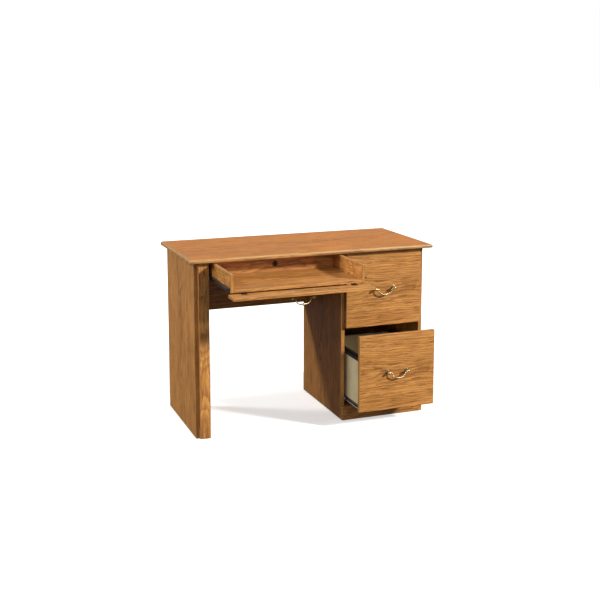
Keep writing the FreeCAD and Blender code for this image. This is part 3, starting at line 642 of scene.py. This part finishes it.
def cross_recessed(tree, given, crown, head):
    """Cuts two slots in the crown, each 1.1 head radii long and about a quarter of one wide."""
    length = add(tree, "ShaderNodeMath", {0: given["Head Radius"], 1: 1.1}, operation="MULTIPLY")
    width = add(tree, "ShaderNodeMath", {0: given["Head Radius"], 1: 0.26}, operation="MULTIPLY")
    tall = add(tree, "ShaderNodeMath", {0: given["Recess Depth"], 1: 2.0}, operation="MULTIPLY")
    for across, along in ((length, width), (width, length)):
        size = add(tree, "ShaderNodeCombineXYZ", {"X": across, "Y": along, "Z": tall})
        blank = add(tree, "GeometryNodeMeshCube", {"Size": size}).outputs["Mesh"]
        cutter = add(tree, "GeometryNodeTransform", {"Geometry": blank, "Translation": crown})
        pair = {"Mesh 1": head, "Mesh 2": cutter}
        head = add(tree, "GeometryNodeMeshBoolean", pair, operation="DIFFERENCE")
    return head


def pointed_shank(tree, given):
    """A shank ridged like a thread, which comes to a point over its last tenth."""
    depth = add(tree, "ShaderNodeMath", {0: given["Shank Length"], 1: -1.0}, operation="MULTIPLY")
    end = add(tree, "ShaderNodeCombineXYZ", {"Z": depth})
    index = add(tree, "GeometryNodeInputIndex")
    odd = add(tree, "ShaderNodeMath", {0: index, 1: 2.0}, operation="MODULO")
    ridge = add(tree, "ShaderNodeMapRange", {0: odd, "To Min": 1.0, "To Max": 0.78})
    share = add(tree, "GeometryNodeSplineParameter").outputs["Factor"]
    point = add(tree, "ShaderNodeMapRange", {0: share, "From Min": 0.9, "To Min": 1.0, "To Max": 0.1})
    cone = add(tree, "ShaderNodeMath", {0: ridge, 1: point}, operation="MULTIPLY")
    radius = add(tree, "ShaderNodeMath", {0: cone, 1: given["Shank Radius"]}, operation="MULTIPLY")
    return rod(tree, end, SHANK_STEPS, radius)


def fastener_tree():
    """Geometry nodes that set a headed fastener on every point, standing along its facing."""
    tree = bpy.data.node_groups.new("fasteners_on_points", "GeometryNodeTree")
    declare(tree, "INPUT", Geometry="Geometry", Head_Radius="Float", Head_Height="Float")
    declare(tree, "INPUT", Shank_Radius="Float", Shank_Length="Float", Recess_Depth="Float")
    declare(tree, "INPUT", Cross_Recess="Bool", Finish="Material")
    declare(tree, "OUTPUT", Geometry="Geometry")
    given = add(tree, "NodeGroupInput").outputs
    crown = add(tree, "ShaderNodeCombineXYZ", {"Z": given["Head Height"]})
    dome = domed_head(tree, given, crown)
    recessed = cross_recessed(tree, given, crown, dome)
    choice = {"Switch": given["Cross Recess"], "False": dome, "True": recessed}
    head = add(tree, "GeometryNodeSwitch", choice, input_type="GEOMETRY")
    whole = add(tree, "GeometryNodeJoinGeometry", {"Geometry": head})
    feed(tree, whole, {"Geometry": pointed_shank(tree, given)})
    facing = add(tree, "GeometryNodeInputNamedAttribute", {"Name": "facing"}, data_type="FLOAT_VECTOR")
    turn = add(tree, "FunctionNodeAlignRotationToVector", {"Vector": facing}, axis="Z")
    stood = {"Points": given["Geometry"], "Instance": whole, "Rotation": turn}
    copies = add(tree, "GeometryNodeInstanceOnPoints", stood)
    real = add(tree, "GeometryNodeRealizeInstances", {"Geometry": copies})
    dressed = add(tree, "GeometryNodeSetMaterial", {"Geometry": real, "Material": given["Finish"]})
    add(tree, "NodeGroupOutput", {"Geometry": dressed})
    return tree


FASTENERS = fastener_tree()


def fasteners(name, seats, body, slot, sizes, cross, replaced):
    """One piece with a fastener on each (seat, outward) pair. sizes are in millimetres."""
    places = bpy.data.meshes.new(name)
    places.from_pydata([seat for seat, _ in seats], [], [])
    facing = places.attributes.new("facing", "FLOAT_VECTOR", "POINT")
    facing.data.foreach_set("vector", [share for _, outward in seats for share in outward])
    item = bpy.data.objects.new(name, places)
    bpy.context.scene.collection.objects.link(item)
    modifier = item.modifiers.new("fasteners", "NODES")
    modifier.node_group = FASTENERS
    sockets = {s.name: s.identifier for s in FASTENERS.interface.items_tree if s.in_out == "INPUT"}
    for label, size in sizes.items():
        modifier[sockets[label]] = size * MM
    modifier[sockets["Cross Recess"]] = cross
    modifier[sockets["Finish"]] = FINISHES[slot]
    seen = item.evaluated_get(bpy.context.evaluated_depsgraph_get())
    made = bpy.data.meshes.new_from_object(seen)
    item.modifiers.clear()
    item.data = made
    made.name = name
    bpy.data.meshes.remove(places)
    made.polygons.foreach_set("use_smooth", [True] * len(made.polygons))
    made.set_sharp_from_angle(angle=math.radians(FASTENER_CREASE))
    return handed_over(item, body, replaced)


def fasteners_from(node, head, shank, recess, body, cross=True):
    """Remakes a CAD node of screws or nails, in millimetres. head is (radius, height)."""
    found = [headed(points) for points in loose_solids(node)]
    radius, height = head
    seats = [(seat - outward * height * MM, outward) for seat, outward, _ in found]
    sizes = {
        "Head Radius": radius,
        "Head Height": height,
        "Shank Radius": shank,
        "Shank Length": max(found[0][2] / MM - height, SHORTEST_SHANK),
        "Recess Depth": recess,
    }
    return fasteners(f"{node}_fine", seats, body, SLOT_OF[node], sizes, cross, [node])


fasteners_from("bracket_screws", (3.6, 2.0), 1.7, 1.1, "desk")
fasteners_from("back_panel_nails", (3.2, 0.6), 0.8, 0.0, "desk", cross=False)
for front in ("upper_drawer", "lower_drawer", "flap"):
    fasteners_from(f"{front}_pull_screws", (4.0, 2.4), 2.0, 1.3, front)


def floor_glides():
    """Nail-on glides: a brown button with a rolled rim and a shallow dome that meets the floor."""
    roll = 0.7
    meshes = []
    for points in loose_solids("floor_glides"):
        low, high = box_of(points)
        radius = (high.x - low.x) / 2 / MM
        height = (high.z - low.z) / MM
        outline = [(0, 0), (radius - 0.3, 0)]
        outline += arc(radius - roll, roll, roll, -60, 75, 6)
        outline += [(radius * out, height * up) for out, up in ((0.72, 0.78), (0.45, 0.95), (0.2, 1), (0, 1))]
        mesh = turned(outline, steps=40)
        seat = Vector(((low.x + high.x) / 2, (low.y + high.y) / 2, high.z))
        mesh.transform(standing((0, 0, -1), seat))
        meshes.append(mesh)
    return finished("floor_glides_fine", meshes, "desk", "glide_plastic", ["floor_glides"])


floor_glides()


# ---------------------------------------------------------------- rollers


def rollers(node):
    """Nylon wheels with rounded treads, dished webs and raised hubs, on the rails' axles."""
    hub_wall, dish, tread_round = 1.3, 0.9, 1.0
    meshes = []
    for points in loose_solids(node):
        _, middle, width, radius, bore = round_solid(points)
        half, radius, bore = width / 2 / MM, radius / MM, bore / MM
        web = half - dish
        side = [(bore, half), (bore + hub_wall, half), (bore + 1.7, web), (radius - 2.4, web)]
        side += [(radius - 1.9, half - 0.1)]
        side += arc(radius - tread_round, half - tread_round, tread_round, 90, 0, 5)
        outline = [(out, -up) for out, up in side] + [(out, up) for out, up in reversed(side)]
        mesh = turned(outline, steps=56)
        mesh.transform(standing((1, 0, 0), middle))
        meshes.append(mesh)
    return finished(f"{node}_fine", meshes, node, "nylon", [node], crease=30)


for node in frame["nodes"]:
    if node.endswith("_rollers"):
        rollers(node)


# ---------------------------------------------------------------- bail pulls

# All in millimetres. A bead or collar is (where its middle is, half its width, its radius).
SCALLOP_DEPTH = 0.55
BALL_RADIUS = 6.5
WIRE_RADIUS = 2.2
SWELL = 1.3
SWELL_REACH = 34.0
MIDDLE_BEAD = 4.4
MIDDLE_BEAD_REACH = 5.6
BEADS = ((5.6, 0.9, 4.0), (7.6, 0.8, 3.8))
COLLARS = ((12.2, 1.0, 3.3), (15.0, 0.8, 3.0))
PLAIN_END = 10.0
TWIST_DEPTH = 0.3
TWIST_PITCH = 17.0
STRANDS = 3
WIRE_SIDES = 24
# The radius of the CAD bail, whose box reaches that far below its centre line.
CAD_WIRE_RADIUS = 4.0


def post_outline(standoff, rosette):
    """A pull's post in millimetres: a scalloped rosette, a waisted neck with a collar, and a ball."""
    outline = [(0, 0), (rosette - 0.5, 0)]
    outline += [(*spot, SCALLOP_DEPTH) for spot in arc(rosette - 1.1, 1.1, 1.1, -60, 100, 8)]
    # A groove parts the scalloped rim from a raised boss.
    outline += [(rosette - 2.3, 1.5), (rosette - 3.2, 1.5)]
    outline += arc(rosette - 4.2, 2.1, 1.0, 0, 110, 6)
    # The neck narrows to its waist, then widens to the collar under the ball.
    outline += [(4.6, 3.4), (3.7, 4.6), (3.1, 6.2), (3.0, 7.2), (3.3, 7.9)]
    outline += arc(3.4, 8.9, 1.1, -55, 75, 6)
    outline += [(3.4, 10.3), (3.5, 11.0)]
    outline += arc(0, standoff, BALL_RADIUS, -56, 90, 14)
    return outline


def bail_line(spacing, drop):
    """The bail's centre line in millimetres, as (sideways, down) points.

    It runs in from each post, bends down and swags across in half an ellipse.
    """
    shoulder, bend, step = 8.5, 5.0, 0.5
    bend_steps, swag_steps = 12, 60
    half = spacing / 2
    wide, deep = half - shoulder - bend, drop - bend
    points = []
    for number in range(int(shoulder / step) + 1):
        points.append((-half + number * step, 0.0))
    for number in range(1, bend_steps + 1):
        angle = math.radians(90 * number / bend_steps)
        points.append((-half + shoulder + bend * math.sin(angle), bend * (1 - math.cos(angle))))
    for number in range(1, swag_steps + 1):
        angle = math.radians(90 * number / swag_steps)
        points.append((-wide * math.cos(angle), bend + deep * math.sin(angle)))
    return points + [(-side, down) for side, down in reversed(points[:-1])]


def wire_radius(side, from_post):
    """The bail's radius in millimetres, and how deep its rope twist is cut there."""
    plain = WIRE_RADIUS + SWELL * max(0.0, 1 - (abs(side) / SWELL_REACH) ** 2)
    if abs(side) < MIDDLE_BEAD:
        return max(plain, MIDDLE_BEAD * math.sqrt(1 - (side / MIDDLE_BEAD_REACH) ** 2)), 0.0
    for here, rings in ((abs(side), BEADS), (from_post, COLLARS)):
        for middle, reach, radius in rings:
            if abs(here - middle) < reach:
                return radius * math.sqrt(1 - 0.35 * ((here - middle) / reach) ** 2), 0.0
    if from_post < PLAIN_END:
        return WIRE_RADIUS, 0.0
    return plain, TWIST_DEPTH


def bail(spacing, drop, pivot):
    """A cast bail with a rope twist, ringed beads in its middle and collars near the posts."""
    along, hang, forward = Vector((1, 0, 0)), Vector((0, 0, -1)), Vector((0, -1, 0))
    mesh = bmesh.new()
    hollow = mesh.verts.layers.float.new("hollow")
    line = [Vector(point) for point in bail_line(spacing, drop)]
    run = [0.0]
    for before, here in zip(line, line[1:]):
        run.append(run[-1] + (here - before).length)
    rings = []
    for number, spot in enumerate(line):
        ahead = line[min(number + 1, len(line) - 1)] - line[max(number - 1, 0)]
        tangent = (along * ahead.x + hang * ahead.y).normalized()
        across = tangent.cross(forward).normalized()
        middle = pivot + (along * spot.x + hang * spot.y) * MM
        radius, twist = wire_radius(spot.x, min(run[number], run[-1] - run[number]))
        hand = 1 if spot.x < 0 else -1
        wound = hand * math.tau * run[number] / TWIST_PITCH
        ring = []
        for step in range(WIRE_SIDES):
            angle = math.tau * step / WIRE_SIDES
            groove = (0.5 - 0.5 * math.cos(STRANDS * (angle + wound))) ** 2
            reach = radius * (1 - twist * groove) * MM
            out = forward * math.cos(angle) + across * math.sin(angle)
            corner = mesh.verts.new(middle + out * reach)
            corner[hollow] = groove if twist else 0.15
            ring.append(corner)
        rings.append(ring)
    skin(mesh, rings, WIRE_SIDES)
    mesh.faces.new(rings[0])
    mesh.faces.new(rings[-1])
    bmesh.ops.recalc_face_normals(mesh, faces=mesh.faces)
    return mesh


def pull(front, bail_body, outward):
    """A bail pull: two posts that ride on the front and a bail that swings between them."""
    joint = next(joint for joint in frame["joints"] if joint["child"] == bail_body)
    pivot = Vector(joint["pos_m"])
    outward = Vector(outward)
    posts = f"{front}_pull_posts"
    meshes = []
    for low, high in (box_of(points) for points in loose_solids(posts)):
        rosette = (high.x - low.x) / 2 / MM
        standoff = max((low - pivot).dot(-outward), (high - pivot).dot(-outward))
        mesh = turned(post_outline(standoff / MM, rosette), steps=80)
        seat = Vector(((low.x + high.x) / 2, pivot.y, pivot.z)) - outward * standoff
        mesh.transform(standing(outward, seat))
        meshes.append(mesh)
    finished(f"{posts}_cast", meshes, front, "antique_brass", [posts])
    swing = f"{front}_pull_bail"
    low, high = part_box(swing)
    drop = (pivot.z - low.z) / MM - CAD_WIRE_RADIUS
    mesh = bail((high.x - low.x) / MM, drop, pivot)
    finished(f"{swing}_cast", [mesh], bail_body, "antique_brass", [swing])


pull("upper_drawer", "upper_bail", (0, -1, 0))
pull("lower_drawer", "lower_bail", (0, -1, 0))
pull("flap", "flap_bail", (0, 0, -1))


# ---------------------------------------------------------------- floor, light and camera


FLOOR_REACH = 60.0

# Each sun's name, the way to it, its strength and its width in degrees.
SUNS = (
    ("key", (1.05, -1.0, 0.75), 4.3, 6),
    ("side", (-1.0, 0.0, 0.3), 1.2, 8),
    ("rim", (-1.0, 0.55, 0.77), 1.4, 8),
    ("fill", (-0.3, -0.9, 0.5), 0.45, 50),
)


def in_scene(name, data):
    """An object in the scene that holds that mesh, lamp or camera."""
    item = bpy.data.objects.new(name, data)
    bpy.context.scene.collection.objects.link(item)
    return item


def studio_floor():
    """An opal sheet lit from below, as on a light table, so that shadows stay faint.

    Its own light is kept off the desk, whose underside and kneehole stay dark.
    """
    floor = in_scene("studio_floor", bpy.data.meshes.new("studio_floor"))
    corners = [(FLOOR_REACH * x, FLOOR_REACH * y, 0) for x, y in ((-1, -1), (1, -1), (1, 1), (-1, 1))]
    floor.data.from_pydata(corners, [], [(0, 1, 2, 3)])
    glow = {"Emission_Color": (1, 1, 1, 1), "Emission_Strength": 0.5}
    opal = mottled_finish(
        "opal_light_table", ("#F6F5F3", "#F1F0ED"), (600, 9), (0.55, 0.65), 0.05, **glow
    )[0]
    floor.data.materials.append(opal)
    floor.visible_diffuse = False
    floor.visible_glossy = False


def suns():
    """A strong key from the front right, two from the left, and a wide faint one from the front."""
    for name, towards, strength, width in SUNS:
        lamp = bpy.data.lights.new(name, "SUN")
        lamp.energy = strength
        lamp.angle = math.radians(width)
        in_scene(name, lamp).rotation_euler = Vector(towards).to_track_quat("Z", "Y").to_euler()


def white_world():
    """A studio that is white to look at, dim overhead, and almost dark below the table."""
    world = bpy.data.worlds.new("white_studio")
    bpy.context.scene.world = world
    world.use_nodes = True
    tree = world.node_tree
    where = add(tree, "ShaderNodeTexCoord").outputs["Generated"]
    height = add(tree, "ShaderNodeSeparateXYZ", {0: where}).outputs["Z"]
    rise = {0: height, "From Min": -0.3, "From Max": 0.3, "To Min": 0.06, "To Max": 0.3}
    dim = add(tree, "ShaderNodeMapRange", rise)
    seen = add(tree, "ShaderNodeLightPath").outputs["Is Camera Ray"]
    strength = add(tree, "ShaderNodeMapRange", {0: seen, "To Min": dim, "To Max": 1.0})
    feed(tree, tree.nodes["Background"], {"Color": (1, 1, 1, 1), "Strength": strength})


def camera():
    """The eye stands to the left of the desk, above its top, and looks to the right and down."""
    lens = bpy.data.cameras.new("camera")
    lens.lens = 60.6
    lens.shift_y = -0.12
    turned_right, tilted_down = 21.0, 8.9
    item = in_scene("camera", lens)
    item.location = (-1.553, -3.947, 1.514)
    item.rotation_euler = (math.radians(90 - tilted_down), 0, math.radians(-turned_right))
    bpy.context.scene.camera = item


studio_floor()
suns()
white_world()
camera()
bpy.context.scene.view_settings.view_transform = "Standard"
